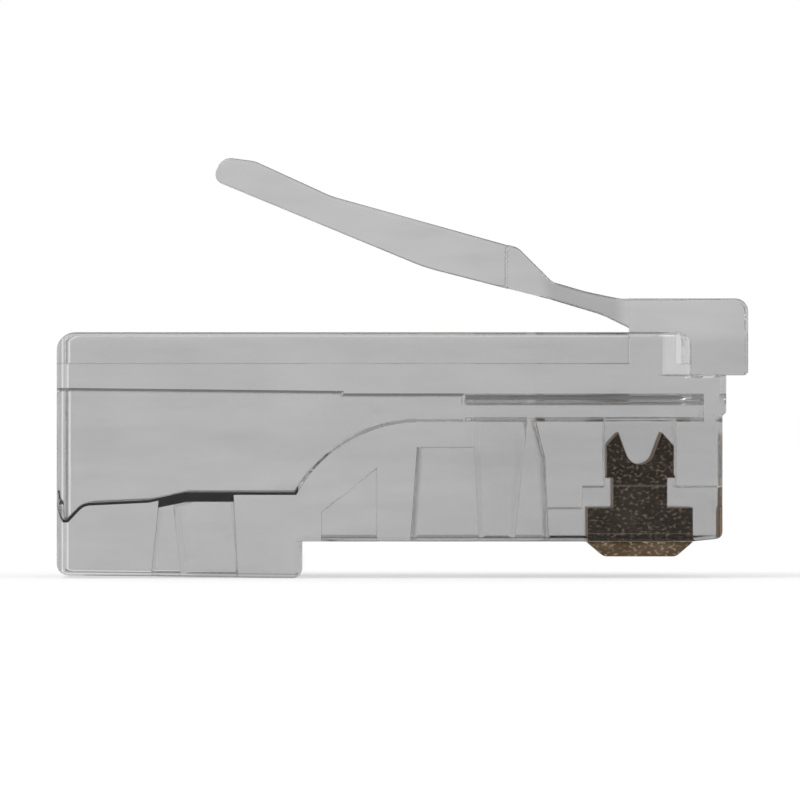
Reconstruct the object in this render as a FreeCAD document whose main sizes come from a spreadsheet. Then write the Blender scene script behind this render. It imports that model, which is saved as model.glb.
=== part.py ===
import FreeCAD, Part
import math
import os
import re

import Sketcher
from FreeCAD import Vector

# An uncrimped eight-way modular cable plug: a clear moulding with a spring latch, two crimp
# clamps in its underside and eight plated contact blades standing proud of their slots.
#
# Every outline is drawn from one datum: x = 0 is the front land of the moulding (-x runs back to
# the cable end), y = 0 its middle plane and z = 0 the underside of its front part. A placement
# then carries each piece into the part's own frame, whose origin is the middle of the base.

# Each size: its name in the sheet, its value in millimetres (or degrees) and what it is.
SIZE_TABLE = [
    # The moulding
    ("body_length", 21.34, "front land to the cable end"),
    ("body_width", 11.68, "across the side walls"),
    ("body_height", 6.67, "underside of the front part to the top"),
    ("foot_length", 7.83, "the deeper rear part, along the plug"),
    ("foot_drop", 1.17, "how far the foot reaches below the front part, at the step"),
    ("foot_rise", 0.10, "draft of the foot's underside, step to cable end"),
    ("front_step", 0.12, "the comb face stands this far behind the front land"),
    ("land_bottom", 4.13, "height of the front land's lower edge"),
    ("shelf_height", 5.30, "height of the shelves beside the nose, and of its underside"),
    ("shelf_depth", 1.10, "front land to the ends of the top rails"),
    ("chin_length", 1.10, "the underside's lead-in at the front"),
    ("chin_rise", 0.10, "height of that lead-in"),
    ("rear_top_round", 0.60, "cable end, upper edge"),
    ("rear_bottom_round", 0.38, "cable end, lower edge"),
    ("step_round", 0.32, "foot's lower edge at the step"),
    ("front_round", 0.25, "lower front edge"),
    ("rail_round", 0.45, "upper front edge of the rails"),
    ("rail_corner", 1.10, "outer corners of the rails' ends, in plan"),
    ("side_round", 0.10, "edges of the two side walls"),
    ("end_corner", 0.27, "upright outer corners of the cable end, the foot and the front, in plan"),
    # The nose that carries the latch
    ("nose_width", 6.02, "also the width of the latch's root"),
    ("nose_reach", 0.76, "overhang in front of the land"),
    ("nose_back", 3.06, "front land to the nose's rear face"),
    ("nose_rise", 1.095, "nose top above the moulding's top"),
    ("nose_round", 0.42, "upper front edge"),
    ("nose_bevel", 0.10, "lower front edge"),
    ("nose_side_round", 0.08, "edges of the nose's sides"),
    # The well under the latch
    ("well_depth", 1.01, "below the moulding's top"),
    ("well_side_gap", 0.19, "each side of the latch's root"),
    # The cable cavity
    ("cavity_width", 8.30, "between the cavity's side walls"),
    ("mouth_ceiling", 4.90, "height of the cavity's roof at the cable end"),
    ("inner_ceiling", 4.80, "height of the roof at the inner end of its draft"),
    ("ceiling_back", 12.20, "front land to the step in the roof"),
    ("mouth_floor", 0.60, "height of the mouth's lip"),
    ("lip_length", 0.34, "length of that lip"),
    ("lead_in", 0.84, "cable end to the inner end of the mouth's slope"),
    ("lead_floor", 1.13, "height of the floor there"),
    ("lead_round", 0.50, "the slope's upper edge"),
    ("cavity_bevel", 0.09, "corners of the cavity along its side walls"),
    ("heel_floor", 1.23, "height of the floor at the wedge behind the jacket clamp"),
    ("floor_rise", 1.17, "length of the slope from there up to the level floor"),
    ("clamp_floor", 1.48, "height of the level floor"),
    ("ramp_back", 9.76, "front land to the top of the ramp"),
    ("ramp_radius", 4.52, "the ramp's curve, level at its top"),
    # The wire channels
    ("wire_count", 8, "channels, slots and contacts"),
    ("pitch", 1.02, "wire to wire"),
    ("wire_height", 4.265, "height of the wires' middle line"),
    ("wire_radius", 0.455, "radius of each channel"),
    ("wire_link", 0.46, "height of the gap that joins the channels side by side"),
    ("link_drop", 0.11, "that gap's middle below the wires' middle line"),
    ("channel_back", 8.32, "front land to the start of the channels"),
    ("front_wall", 0.70, "plastic in front of the channels"),
    # A contact blade
    ("blade_thickness", 0.32, "plated strip"),
    ("blade_back", 2.73, "front land to the blade's middle line"),
    ("tip_spread", 0.694, "middle line to each piercing tip"),
    ("tip_height", 3.48, "height of the tips before crimping"),
    ("shoulder_height", 3.05, "height of the prongs' outer shoulders"),
    ("prong_half", 1.08, "half the width over the prongs"),
    ("notch_half", 0.42, "half the notch's width where its round bottom starts"),
    ("notch_height", 2.74, "height at which the round bottom starts"),
    ("notch_bottom", 2.458, "height of the notch's bottom"),
    ("neck_half", 0.87, "half the width of the neck"),
    ("neck_top", 2.02, "height of the neck's upper end"),
    ("barb", 0.05, "height of the barbs that hold the blade in its slot"),
    ("barb_length", 0.15, "slope of each barb, along the prong"),
    ("base_half", 1.687, "half the width of the base"),
    ("base_top", 1.07, "height of the base's shoulders"),
    ("base_taper", -0.05, "height at which the base starts to narrow"),
    ("edge_half", 1.16, "half the length of the contact edge"),
    ("edge_height", -0.50, "height of the contact edge before crimping"),
    ("edge_round", 0.30, "corners of the contact edge"),
    # A contact's slot
    ("slot_side_gap", 0.04, "each side of the blade"),
    ("slot_end_gap", 0.08, "at the prongs' edges"),
    ("ledge_gap", 0.185, "behind the base"),
    ("ledge_height", 1.75, "height of the ledge that stops the base when crimped"),
    ("trough_height", 1.06, "height of the open trough behind the base"),
    # Pockets in the underside
    ("window_width", 8.10, "width of the pockets and of the wire clamp's window"),
    ("window_corner", 0.20, "upright corners of the windows and of the clamps"),
    ("relief_back", 0.59, "step to the relief pocket under the ramp"),
    ("relief_length", 1.79, "that pocket's length"),
    ("relief_low", 0.94, "its roof at the rear"),
    ("relief_high", 2.37, "its roof at the front"),
    ("web_pocket_back", 10.11, "front land to the pocket behind the wire clamp"),
    ("web_pocket_draft", 0.25, "slope of that pocket's rear wall"),
    ("web_pocket_roof", 3.01, "its roof: the web above it carries the wire clamp"),
    # The wire clamp and the wedge in front of it
    ("wire_clamp_back", 8.10, "front land to the clamp's hinge line"),
    ("wire_clamp_top", 1.76, "length of the clamp at its top"),
    ("wire_clamp_draft", 0.16, "slope of its rear face"),
    ("wire_clamp_taper", 0.39, "slope of its front face"),
    ("wire_wedge_top", 0.29, "open width of the wedge at its top"),
    ("wire_wedge_bulge", 0.29, "the far wall's step forward below its neck"),
    ("wire_wedge_neck", 2.66, "height of that neck"),
    ("wire_wedge_foot", 0.13, "the far wall's slope below the neck"),
    # The jacket clamp and the wedge behind it
    ("jacket_window_width", 7.30, "width of the window in the foot"),
    ("jacket_window_back", 2.92, "cable end to the wedge's rear wall"),
    ("jacket_window_draft", 0.38, "slope of that wall"),
    ("jacket_wedge_foot", 1.02, "open width of the wedge at the underside"),
    ("jacket_wedge_top", 0.39, "open width at the top"),
    ("jacket_clamp_length", 1.86, "length of the clamp at the underside"),
    ("jacket_front_draft", 0.20, "slope of the clamp's front face"),
    ("jacket_clamp_heel", 1.09, "height of the clamp's top at its rear"),
    ("jacket_crest", 0.77, "length of the slope from there up to the level top"),
    ("jacket_clamp_top", 1.30, "height of the level top"),
    ("lip_bevel", 0.22, "bevel of the floor's edges beside the clamp"),
    # Running clearances
    ("hinge_gap", 0.06, "between a clamp and the wall it hinges on"),
    ("side_gap", 0.06, "each side of a clamp in its window"),
    # The latch, measured back from the nose's rear face and up from the moulding's top
    ("root_low", 0.13, "lower edge of the web at the nose"),
    ("web_blend", 0.24, "web's upper edge meets the nose's top this far back"),
    ("web_length", 2.54, "nose to the stiff part of the latch"),
    ("web_low", 1.03, "height of the web's lower edge at the stiff part"),
    ("web_high", 1.68, "height of its upper edge there"),
    ("web_sag", 9.0, "radius of the web's upper curve"),
    ("shoulder_reach", 3.88, "nose to the locking shoulders"),
    ("shoulder_fillet", 0.12, "inner corners where the lever leaves the shoulders"),
    ("hump_reach", 3.56, "nose to the top of the hump"),
    ("hump_rise", 2.725, "height of that top"),
    ("bend_reach", 6.54, "nose to the bend in the lever's underside"),
    ("bend_rise", 2.095, "height of that bend"),
    ("crook_reach", 9.54, "nose to the bend in the lever's upper side"),
    ("crook_rise", 4.39, "height of that bend"),
    ("tip_low_reach", 13.38, "nose to the lever's tip, lower corner"),
    ("tip_low_rise", 4.92, "height of that corner"),
    ("tip_high_reach", 13.05, "nose to the tip's upper corner"),
    ("tip_high_rise", 5.655, "height of that corner"),
    ("brow_reach", 12.00, "nose to the bend in front of that corner"),
    ("brow_rise", 5.515, "height of that bend"),
    ("lever_width", 3.25, "width of the finger lever"),
    ("tip_low_round", 0.20, "lower corner of the tip"),
    ("tip_high_round", 0.45, "upper corner of the tip"),
    ("brow_round", 0.90, "the bend in front of it"),
    ("bend_round", 6.00, "the bend in the lever's underside"),
    ("crook_round", 2.50, "the bend in the lever's upper side"),
    ("hump_round", 0.45, "the hump's top"),
    ("lever_edge_round", 0.10, "long edges of the lever"),
]
SIZES = {name: value for name, value, _ in SIZE_TABLE}

AXES = {"x": Vector(1, 0, 0), "y": Vector(0, 1, 0), "z": Vector(0, 0, 1)}
TOUCH = 0.001  # how near an edge lies to the place that picks it
OVERCUT = 0.5  # how far a cut runs past the surface that it opens

document = FreeCAD.newDocument("modular_plug")
sheet = document.addObject("Spreadsheet::Sheet", "Sizes")


def fill_sheet():
    """Write the driving sizes into the sheet: the name, the value and what it is."""
    for row, (name, value, meaning) in enumerate(SIZE_TABLE, 1):
        sheet.set(f"A{row}", name)
        sheet.set(f"B{row}", str(value))
        sheet.set(f"C{row}", meaning)
        sheet.setAlias(f"B{row}", name)
    document.recompute()


def bound(text):
    """Return the expression with each word that names a size pointing at the sheet."""
    return re.sub(r"[a-z_]+", lambda word: f"Sizes.{word[0]}" if word[0] in SIZES else word[0], text)


def worth(text):
    """Return what an expression comes to with the sizes as they are."""
    return float(sheet.evalExpression(bound(text)))


def new_body(name, across="0"):
    """Start a sub-part, placed so that its datum lands where the part's own frame has it."""
    body = document.addObject("PartDesign::Body", name)
    body.Label = name
    body.setExpression(".Placement.Base.x", bound("(body_length - nose_reach) / 2"))
    body.setExpression(".Placement.Base.y", bound(across))
    body.setExpression(".Placement.Base.z", bound("foot_drop"))
    return body


def origin_part(body, role):
    """Return a body's own origin plane or axis."""
    return next(item for item in body.Origin.OriginFeatures if item.Role == role)


def add_edge(sketch, start, end, radius):
    """Add a line, or with a radius an arc that turns left (or, below zero, right) from start to end.

    Returns the edge's number and the numbers of its ends as the outline runs.
    """
    if radius is None:
        return sketch.addGeometry(Part.LineSegment(start, end), False), (1, 2)
    size = abs(worth(radius))
    turns_left = worth(radius) > 0
    chord = end - start
    left = Vector(-chord.y, chord.x, 0).normalize()
    rise = (size**2 - (chord.Length / 2) ** 2) ** 0.5
    centre = (start + end) / 2 + left * (rise if turns_left else -rise)
    first, last = [math.atan2(point.y - centre.y, point.x - centre.x) for point in (start, end)]
    if not turns_left:
        first, last = last, first
    if last < first:
        last += 2 * math.pi
    circle = Part.Circle(centre, AXES["z"], size)
    edge = sketch.addGeometry(Part.ArcOfCircle(circle, first, last), False)
    constraint = sketch.addConstraint(Sketcher.Constraint("Radius", edge, size))
    sketch.setExpression(f"Constraints[{constraint}]", bound(f"abs({radius})"))
    return edge, (1, 2) if turns_left else (2, 1)


def pin_point(sketch, edge, end, place):
    """Hold one end of an edge at a place whose two coordinates are expressions."""
    for kind, text in zip(("DistanceX", "DistanceY"), place):
        number = sketch.addConstraint(Sketcher.Constraint(kind, -1, 1, edge, end, worth(text)))
        sketch.setExpression(f"Constraints[{number}]", bound(text))


def add_loop(sketch, points):
    """Draw a closed outline; a third item in a point is the radius of the arc to the next one."""
    places = [Vector(worth(point[0]), worth(point[1]), 0) for point in points]
    for index, point in enumerate(points):
        following = (index + 1) % len(points)
        radius = point[2] if len(point) > 2 else None
        edge, ends = add_edge(sketch, places[index], places[following], radius)
        pin_point(sketch, edge, ends[0], points[index])
        pin_point(sketch, edge, ends[1], points[following])


def new_sketch(body, name, plane, offset="0"):
    """Start a sketch on one of the body's own planes, moved along the plane's normal."""
    sketch = body.newObject("Sketcher::SketchObject", name)
    sketch.AttachmentSupport = (origin_part(body, plane), [""])
    sketch.MapMode = "FlatFace"
    sketch.setExpression(".AttachmentOffset.Base.z", bound(offset))
    return sketch


def outline(body, name, points, plane="XZ_Plane", offset="0"):
    """Make a sketch with one closed outline."""
    sketch = new_sketch(body, name, plane, offset)
    add_loop(sketch, points)
    return sketch


def extrude(body, kind, name, sketch, length, symmetric=True):
    """Pad or pocket a sketch, either side of its plane or to one side."""
    feature = body.newObject(f"PartDesign::{kind}", name)
    feature.Profile = sketch
    feature.SideType = "Symmetric" if symmetric else "One side"
    feature.setExpression("Length", bound(length))
    document.recompute()
    return feature


def pocket(body, name, sketch, length, symmetric=True):
    """Cut a sketch out of the body, and make sure that plastic was really removed."""
    before = body.Shape.Volume
    feature = extrude(body, "Pocket", name, sketch, length, symmetric)
    if body.Shape.Volume >= before:
        raise RuntimeError(f"{name} cuts nothing")
    return feature


def repeat(body, name, feature):
    """Repeat a feature once per wire, across the plug."""
    pattern = body.newObject("PartDesign::LinearPattern", name)
    pattern.Originals = [feature]
    pattern.Direction = (origin_part(body, "Y_Axis"), [""])
    pattern.Mode = "Spacing"
    pattern.setExpression("Offset", bound("pitch"))
    pattern.setExpression("Occurrences", bound("wire_count"))
    body.Tip = pattern
    document.recompute()


def edges_along(body, axis, places):
    """Name the body's straight edges along an axis that pass through any of the places."""
    wanted = [{key: worth(text) for key, text in place.items()} for place in places]
    names = []
    for number, edge in enumerate(body.Shape.Edges, 1):
        ends = [body.Placement.inverse().multVec(vertex.Point) for vertex in edge.Vertexes]
        if len(ends) < 2 or abs((ends[1] - ends[0]).dot(AXES[axis])) < edge.Length - TOUCH:
            continue
        middle = (ends[0] + ends[1]) / 2
        if any(all(abs(getattr(middle, key) - at) < TOUCH for key, at in place.items()) for place in wanted):
            names.append(f"Edge{number}")
    return names


def edges_on_sides(body, width, keep_sharp=()):
    """Name the edges of the two side faces, leaving out upright ones at the places along the plug."""
    half = worth(f"({width}) / 2")
    sharp = [worth(place) for place in keep_sharp]
    names = []
    for number, edge in enumerate(body.Shape.Edges, 1):
        ends = [body.Placement.inverse().multVec(vertex.Point) for vertex in edge.Vertexes]
        off_sides = any(abs(abs(end.y) - half) > TOUCH for end in ends)
        if off_sides or abs(ends[0].y - ends[-1].y) > TOUCH:
            continue
        if any(all(abs(end.x - place) < TOUCH for end in ends) for place in sharp):
            continue
        names.append(f"Edge{number}")
    return names


def wall_edges(body, width, rear, front, above, steep=True):
    """Name the edges on two facing walls between two places along the plug and above a level.

    Only the steep edges are named, or only the others.
    """
    half, low, high, level = [worth(text) for text in (f"({width}) / 2", rear, front, above)]
    names = []
    for number, edge in enumerate(body.Shape.Edges, 1):
        ends = [body.Placement.inverse().multVec(vertex.Point) for vertex in edge.Vertexes]
        run = ends[-1] - ends[0]
        if any(abs(abs(end.y) - half) > TOUCH for end in ends) or abs(run.y) > TOUCH:
            continue
        if any(not low - TOUCH < end.x < high + TOUCH or end.z < level - TOUCH for end in ends):
            continue
        if (abs(run.z) > abs(run.x)) == steep:
            names.append(f"Edge{number}")
    return names


def dress(body, name, edges, size, kind="Fillet", measure="Radius"):
    """Fillet or bevel the named edges."""
    if not edges:
        raise RuntimeError(f"{name} found no edge")
    base = body.Tip
    feature = body.newObject(f"PartDesign::{kind}", name)
    feature.Base = (base, edges)
    feature.setExpression(measure, bound(size))
    document.recompute()


def round_edges(body, name, axis, places, size):
    """Round the straight edges along an axis that pass through the places."""
    dress(body, name, edges_along(body, axis, places), size)


def both_sides(width, **place):
    """Return the same place on the left and on the right of the plug."""
    return [{"y": f"{sign}({width}) / 2", **place} for sign in ("-", "")]


# ---- places that several pieces share ----

STEP = "-body_length + foot_length"
NOSE_TOP = "body_height + nose_rise"
ROOT = "-nose_back"
WELL_FLOOR = "body_height - well_depth"
COMB_TOP = "land_bottom - front_step"  # upper end of the set-back face below the front land
FLOOR = "wire_height - wire_radius"  # of the channels, and the level of the ramp's top
ROOF = "wire_height + wire_radius"
RAMP_FOOT = f"-ramp_back - sqrt(ramp_radius^2 - (ramp_radius - ({FLOOR}) + clamp_floor)^2)"
WEDGE_REAR = "-body_length + jacket_window_back"
CLAMP_HEEL = f"{WEDGE_REAR} + jacket_wedge_foot"
CLAMP_TOE = f"{CLAMP_HEEL} + jacket_clamp_length"
JACKET_HINGE = f"{CLAMP_TOE} - jacket_front_draft"
CREST_FOOT = f"{WEDGE_REAR} + jacket_window_draft + jacket_wedge_top"
RIB_TOP = "wire_height - link_drop - wire_link / 2"  # of the ribs between the channels' lower halves
WIRE_HINGE = "-wire_clamp_back"
WIRE_NOSE = f"{WIRE_HINGE} + wire_clamp_top"
WIRE_WALL = f"{WIRE_NOSE} + wire_wedge_top"


def foot_level(back):
    """Return the height of the foot's drafted underside at a place along the plug."""
    return f"-foot_drop + foot_rise * ({STEP} - ({back})) / foot_length"


# ---- the moulding ----


def add_nose(body):
    """The block in the middle of the front that the latch grows out of."""
    sketch = outline(
        body,
        "nose_outline",
        [
            (ROOT, "shelf_height"),
            ("nose_reach - nose_bevel", "shelf_height"),
            ("nose_reach", "shelf_height + nose_bevel"),
            ("nose_reach", NOSE_TOP),
            (ROOT, NOSE_TOP),
        ],
    )
    extrude(body, "Pad", "nose", sketch, "nose_width")
    round_edges(body, "nose_front_round", "y", [{"x": "nose_reach", "z": NOSE_TOP}], "nose_round")
    top_edges = both_sides("nose_width", z=NOSE_TOP)
    round_edges(body, "nose_side_rounds", "x", top_edges, "nose_side_round")


def add_shell(body):
    """The main block: front part, deeper foot, drafted underside and the rails' rounded ends."""
    sketch = outline(
        body,
        "shell_outline",
        [
            ("-body_length", "-foot_drop + foot_rise"),
            (STEP, "-foot_drop"),
            (STEP, "0"),
            ("-chin_length", "0"),
            ("-front_step", "chin_rise"),
            ("-front_step", COMB_TOP),
            ("0", "land_bottom"),
            ("0", "shelf_height"),
            ("-shelf_depth", "shelf_height"),
            ("-shelf_depth", "body_height - rail_round", "rail_round"),
            ("-shelf_depth - rail_round", "body_height"),
            ("-body_length", "body_height"),
        ],
    )
    extrude(body, "Pad", "shell", sketch, "body_width")
    rounds = [
        ("rear_top", "-body_length", "body_height", "rear_top_round"),
        ("rear_bottom", "-body_length", "-foot_drop + foot_rise", "rear_bottom_round"),
        ("step", STEP, "-foot_drop", "step_round"),
        ("front", "-front_step", "chin_rise", "front_round"),
    ]
    for name, along, height, size in rounds:
        round_edges(body, f"{name}_edge_round", "y", [{"x": along, "z": height}], size)
    dress(body, "side_rounds", edges_on_sides(body, "body_width"), "side_round")


def round_corners(body, name, end, faces_front, radius, top, bottom):
    """Round both corners of an end face of the block, seen from above, between two levels."""
    sketch = new_sketch(body, f"{name}_outline", "XY_Plane", top)
    inward = "-" if faces_front else "+"
    for side in (1, -1):
        turn = radius if (side > 0) == faces_front else f"-{radius}"
        corner = [
            (f"{end} {inward} {radius}", f"{side} * (body_width / 2)"),
            (f"{end} {inward} {radius}", f"{side} * (body_width / 2 + {OVERCUT})"),
            (end, f"{side} * (body_width / 2 + {OVERCUT})"),
            (end, f"{side} * (body_width / 2 - {radius})", turn),
        ]
        add_loop(sketch, corner)
    pocket(body, name, sketch, f"{top} - ({bottom})", symmetric=False)


def round_ends(body):
    """Round the rails' front ends, the cable end, the foot's front and the front, seen from above."""
    above, below = f"body_height + {OVERCUT}", f"-foot_drop - {OVERCUT}"
    round_corners(body, "rail_corners", "-shelf_depth", True, "rail_corner", above, "shelf_height")
    round_corners(body, "rear_corners", "-body_length", False, "end_corner", above, below)
    round_corners(body, "foot_corners", STEP, True, "end_corner", "0", below)
    round_corners(body, "land_corners", "0", True, "end_corner", "shelf_height", COMB_TOP)
    round_corners(body, "comb_corners", "-front_step", True, "end_corner", COMB_TOP, below)


def cut_well(body):
    """The shallow well in the top that the pressed latch drops into, open at the cable end."""
    rear = f"-body_length - {OVERCUT}"
    points = [
        (rear, WELL_FLOOR),
        (ROOT, WELL_FLOOR),
        (ROOT, f"body_height + {OVERCUT}"),
        (rear, f"body_height + {OVERCUT}"),
    ]
    sketch = outline(body, "well_outline", points)
    pocket(body, "well", sketch, "nose_width + 2 * well_side_gap")


def cut_cavity(body):
    """The cable's way in: a mouth, a floor with the jacket clamp and a ramp up to the channels."""
    past_end = f"-body_length - {OVERCUT}"
    sketch = outline(
        body,
        "cavity_outline",
        [
            (past_end, "mouth_floor"),
            ("-body_length + lip_length", "mouth_floor"),
            ("-body_length + lead_in", "lead_floor"),
            (WEDGE_REAR, "heel_floor"),
            (f"{WEDGE_REAR} + floor_rise", "clamp_floor"),
            (RAMP_FOOT, "clamp_floor", "-ramp_radius"),
            ("-ramp_back", FLOOR),
            ("-channel_back", FLOOR),
            ("-channel_back", ROOF),
            ("-ceiling_back", ROOF),
            ("-ceiling_back", "inner_ceiling"),
            ("-body_length", "mouth_ceiling"),
            (past_end, "mouth_ceiling"),
        ],
    )
    pocket(body, "cavity", sketch, "cavity_width")
    lead_edge = [{"x": "-body_length + lead_in", "z": "lead_floor"}]
    round_edges(body, "lead_edge_round", "y", lead_edge, "lead_round")
    corners = edges_on_sides(body, "cavity_width", keep_sharp=["-body_length"])
    dress(body, "cavity_corners", corners, "cavity_bevel", "Chamfer", "Size")


def cut_channels(body):
    """Eight round wire channels, joined side by side through the gap between their ribs."""
    link = [
        ("-channel_back", RIB_TOP),
        ("-front_wall", RIB_TOP),
        ("-front_wall", f"{RIB_TOP} + wire_link"),
        ("-channel_back", f"{RIB_TOP} + wire_link"),
    ]
    sketch = outline(body, "link_outline", link)
    pocket(body, "link", sketch, "pitch * wire_count")
    cut_wire_bores(body, "-front_wall", "channel_back - front_wall")


def cut_wire_bores(body, start, length):
    """Cut the round channels back from a place along the plug."""
    sketch = new_sketch(body, "bore_outline", "YZ_Plane", start)
    across = "-pitch * (wire_count - 1) / 2"
    circle = Part.Circle(Vector(worth(across), worth("wire_height"), 0), AXES["z"], SIZES["wire_radius"])
    edge = sketch.addGeometry(circle, False)
    radius = sketch.addConstraint(Sketcher.Constraint("Radius", edge, SIZES["wire_radius"]))
    sketch.setExpression(f"Constraints[{radius}]", bound("wire_radius"))
    pin_point(sketch, edge, 3, (across, "wire_height"))
    repeat(body, "bores", pocket(body, "bore", sketch, length, symmetric=False))


def cut_blade_slots(body):
    """A stepped slot per contact: trough, ledge and the narrow part that opens into the channel."""
    back = f"{WIRE_WALL} + wire_wedge_bulge"
    sketch = outline(
        body,
        "slot_outline",
        [
            (back, f"-{OVERCUT}"),
            (f"{OVERCUT}", f"-{OVERCUT}"),
            (f"{OVERCUT}", "ledge_height"),
            ("-blade_back + prong_half + slot_end_gap", "ledge_height"),
            ("-blade_back + prong_half + slot_end_gap", "wire_height"),
            ("-blade_back - prong_half - slot_end_gap", "wire_height"),
            ("-blade_back - prong_half - slot_end_gap", "ledge_height"),
            ("-blade_back - base_half - ledge_gap", "ledge_height"),
            ("-blade_back - base_half - ledge_gap", "trough_height"),
            (back, "trough_height"),
        ],
        offset="pitch * (wire_count - 1) / 2",
    )
    repeat(body, "slots", pocket(body, "slot", sketch, "blade_thickness + 2 * slot_side_gap"))


def cut_relief(body):
    """The relief pocket under the ramp, with its sloping roof."""
    rear = f"{STEP} + relief_back"
    front = f"{rear} + relief_length"
    below = f"-{OVERCUT}"
    points = [(rear, below), (front, below), (front, "relief_high"), (rear, "relief_low")]
    pocket(body, "relief", outline(body, "relief_outline", points), "window_width")


def cut_wire_window(body):
    """The pocket, clamp seat and wedge in one: the wire clamp hangs in the middle of it."""
    neck = f"{WIRE_WALL} + wire_wedge_bulge"
    sketch = outline(
        body,
        "wire_window_outline",
        [
            ("-web_pocket_back", f"-{OVERCUT}"),
            (f"{neck} + wire_wedge_foot", f"-{OVERCUT}"),
            (neck, "wire_wedge_neck"),
            (WIRE_WALL, FLOOR),
            (WIRE_WALL, "wire_height"),
            (WIRE_HINGE, "wire_height"),
            (WIRE_HINGE, "web_pocket_roof"),
            ("-web_pocket_back + web_pocket_draft", "web_pocket_roof"),
        ],
    )
    pocket(body, "wire_window", sketch, "window_width")
    rear = wall_edges(body, "window_width", "-web_pocket_back", "-web_pocket_back + web_pocket_draft", "0")
    front = wall_edges(body, "window_width", WIRE_WALL, f"{neck} + wire_wedge_foot", "0")
    dress(body, "wire_window_corners", rear + front, "window_corner")


def cut_jacket_window(body):
    """The window in the foot: the jacket clamp hangs in its front, a wedge is open behind it."""
    below, above = f"-foot_drop - {OVERCUT}", f"clamp_floor + {OVERCUT}"
    sketch = outline(
        body,
        "jacket_window_outline",
        [
            (WEDGE_REAR, below),
            (CLAMP_TOE, below),
            (JACKET_HINGE, above),
            (f"{WEDGE_REAR} + jacket_window_draft", above),
        ],
    )
    pocket(body, "jacket_window", sketch, "jacket_window_width")
    span = ("jacket_window_width", WEDGE_REAR, CLAMP_TOE)
    dress(body, "lip_bevels", wall_edges(body, *span, "0", steep=False), "lip_bevel", "Chamfer", "Size")


def make_housing():
    """The clear moulding without the pieces that bend out of it."""
    body = new_body("housing")
    add_nose(body)
    add_shell(body)
    round_ends(body)
    cut_well(body)
    cut_cavity(body)
    cut_channels(body)
    cut_blade_slots(body)
    cut_relief(body)
    cut_wire_window(body)
    cut_jacket_window(body)


# ---- the pieces that bend out of the moulding ----


def make_jacket_clamp():
    """The bar in the foot that is pressed up onto the cable's jacket, hinged at its front top."""
    body = new_body("jacket_clamp")
    sketch = outline(
        body,
        "clamp_outline",
        [
            (CLAMP_HEEL, foot_level(CLAMP_HEEL)),
            (f"{CLAMP_TOE} - hinge_gap", foot_level(CLAMP_TOE)),
            (f"{JACKET_HINGE} - hinge_gap", "jacket_clamp_top"),
            (f"{CREST_FOOT} + jacket_crest", "jacket_clamp_top"),
            (CREST_FOOT, "jacket_clamp_heel"),
        ],
    )
    width = "jacket_window_width - 2 * side_gap"
    extrude(body, "Pad", "clamp", sketch, width)
    heel = wall_edges(body, width, CREST_FOOT, CLAMP_HEEL, foot_level(CLAMP_HEEL))
    dress(body, "heel_corners", heel, "window_corner")


def make_wire_clamp():
    """The bar under the channels that is pressed up onto the wires, hinged at its rear top."""
    body = new_body("wire_clamp")
    sketch = outline(
        body,
        "clamp_outline",
        [
            (f"{WIRE_HINGE} + wire_clamp_draft + hinge_gap", "0"),
            (f"{WIRE_NOSE} - wire_clamp_taper", "0"),
            (WIRE_NOSE, FLOOR),
            (WIRE_NOSE, RIB_TOP),
            (f"{WIRE_HINGE} + hinge_gap", RIB_TOP),
            (f"{WIRE_HINGE} + hinge_gap", "web_pocket_roof"),
        ],
    )
    width = "window_width - 2 * side_gap"
    extrude(body, "Pad", "clamp", sketch, width)
    dress(body, "clamp_corners", wall_edges(body, width, WIRE_HINGE, WIRE_NOSE, "0"), "window_corner")
    cut_wire_bores(body, "-front_wall", "channel_back - front_wall")


def latch_place(reach, rise):
    """Return a place on the latch, back from the nose and up from the moulding's top."""
    return (f"{ROOT} - {reach}", f"body_height + {rise}")


def make_latch():
    """The stiff part of the latch: locking shoulders at the nose's width, then the narrow lever."""
    body = new_body("latch")
    corners = [
        ("tip_low", *latch_place("tip_low_reach", "tip_low_rise"), "tip_low_round"),
        ("bend", *latch_place("bend_reach", "bend_rise"), "bend_round"),
        ("web_low", *latch_place("web_length", "web_low"), None),
        ("web_high", *latch_place("web_length", "web_high"), None),
        ("hump", *latch_place("hump_reach", "hump_rise"), "hump_round"),
        ("crook", *latch_place("crook_reach", "crook_rise"), "crook_round"),
        ("brow", *latch_place("brow_reach", "brow_rise"), "brow_round"),
        ("tip_high", *latch_place("tip_high_reach", "tip_high_rise"), "tip_high_round"),
    ]
    sketch = outline(body, "latch_outline", [(along, height) for _, along, height, _ in corners])
    extrude(body, "Pad", "blank", sketch, "nose_width")
    for name, along, height, size in corners:
        if size:
            round_edges(body, f"{name}_rounded", "y", [{"x": along, "z": height}], size)
    trim_lever(body)


def trim_lever(body):
    """Cut the latch down to the lever's width behind the locking shoulders, and soften its edges."""
    level = f"body_height + tip_high_rise + {OVERCUT}"
    sketch = new_sketch(body, "trim_outline", "XY_Plane", level)
    shoulder, past_tip = f"{ROOT} - shoulder_reach", f"{ROOT} - tip_low_reach - {OVERCUT}"
    for sign in ("", "-"):
        strip = [
            (past_tip, f"{sign}(lever_width / 2)"),
            (shoulder, f"{sign}(lever_width / 2)"),
            (shoulder, f"{sign}(nose_width / 2 + {OVERCUT})"),
            (past_tip, f"{sign}(nose_width / 2 + {OVERCUT})"),
        ]
        add_loop(sketch, strip)
    pocket(body, "lever_sides", sketch, level, symmetric=False)
    lever_edges = edges_on_sides(body, "lever_width", keep_sharp=[shoulder])
    dress(body, "lever_edges", lever_edges, "lever_edge_round")
    wide_edges = edges_on_sides(body, "nose_width", keep_sharp=[shoulder, f"{ROOT} - web_length"])
    dress(body, "wide_edges", wide_edges, "nose_side_round")
    round_edges(body, "shoulder_fillets", "z", both_sides("lever_width", x=shoulder), "shoulder_fillet")


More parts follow.
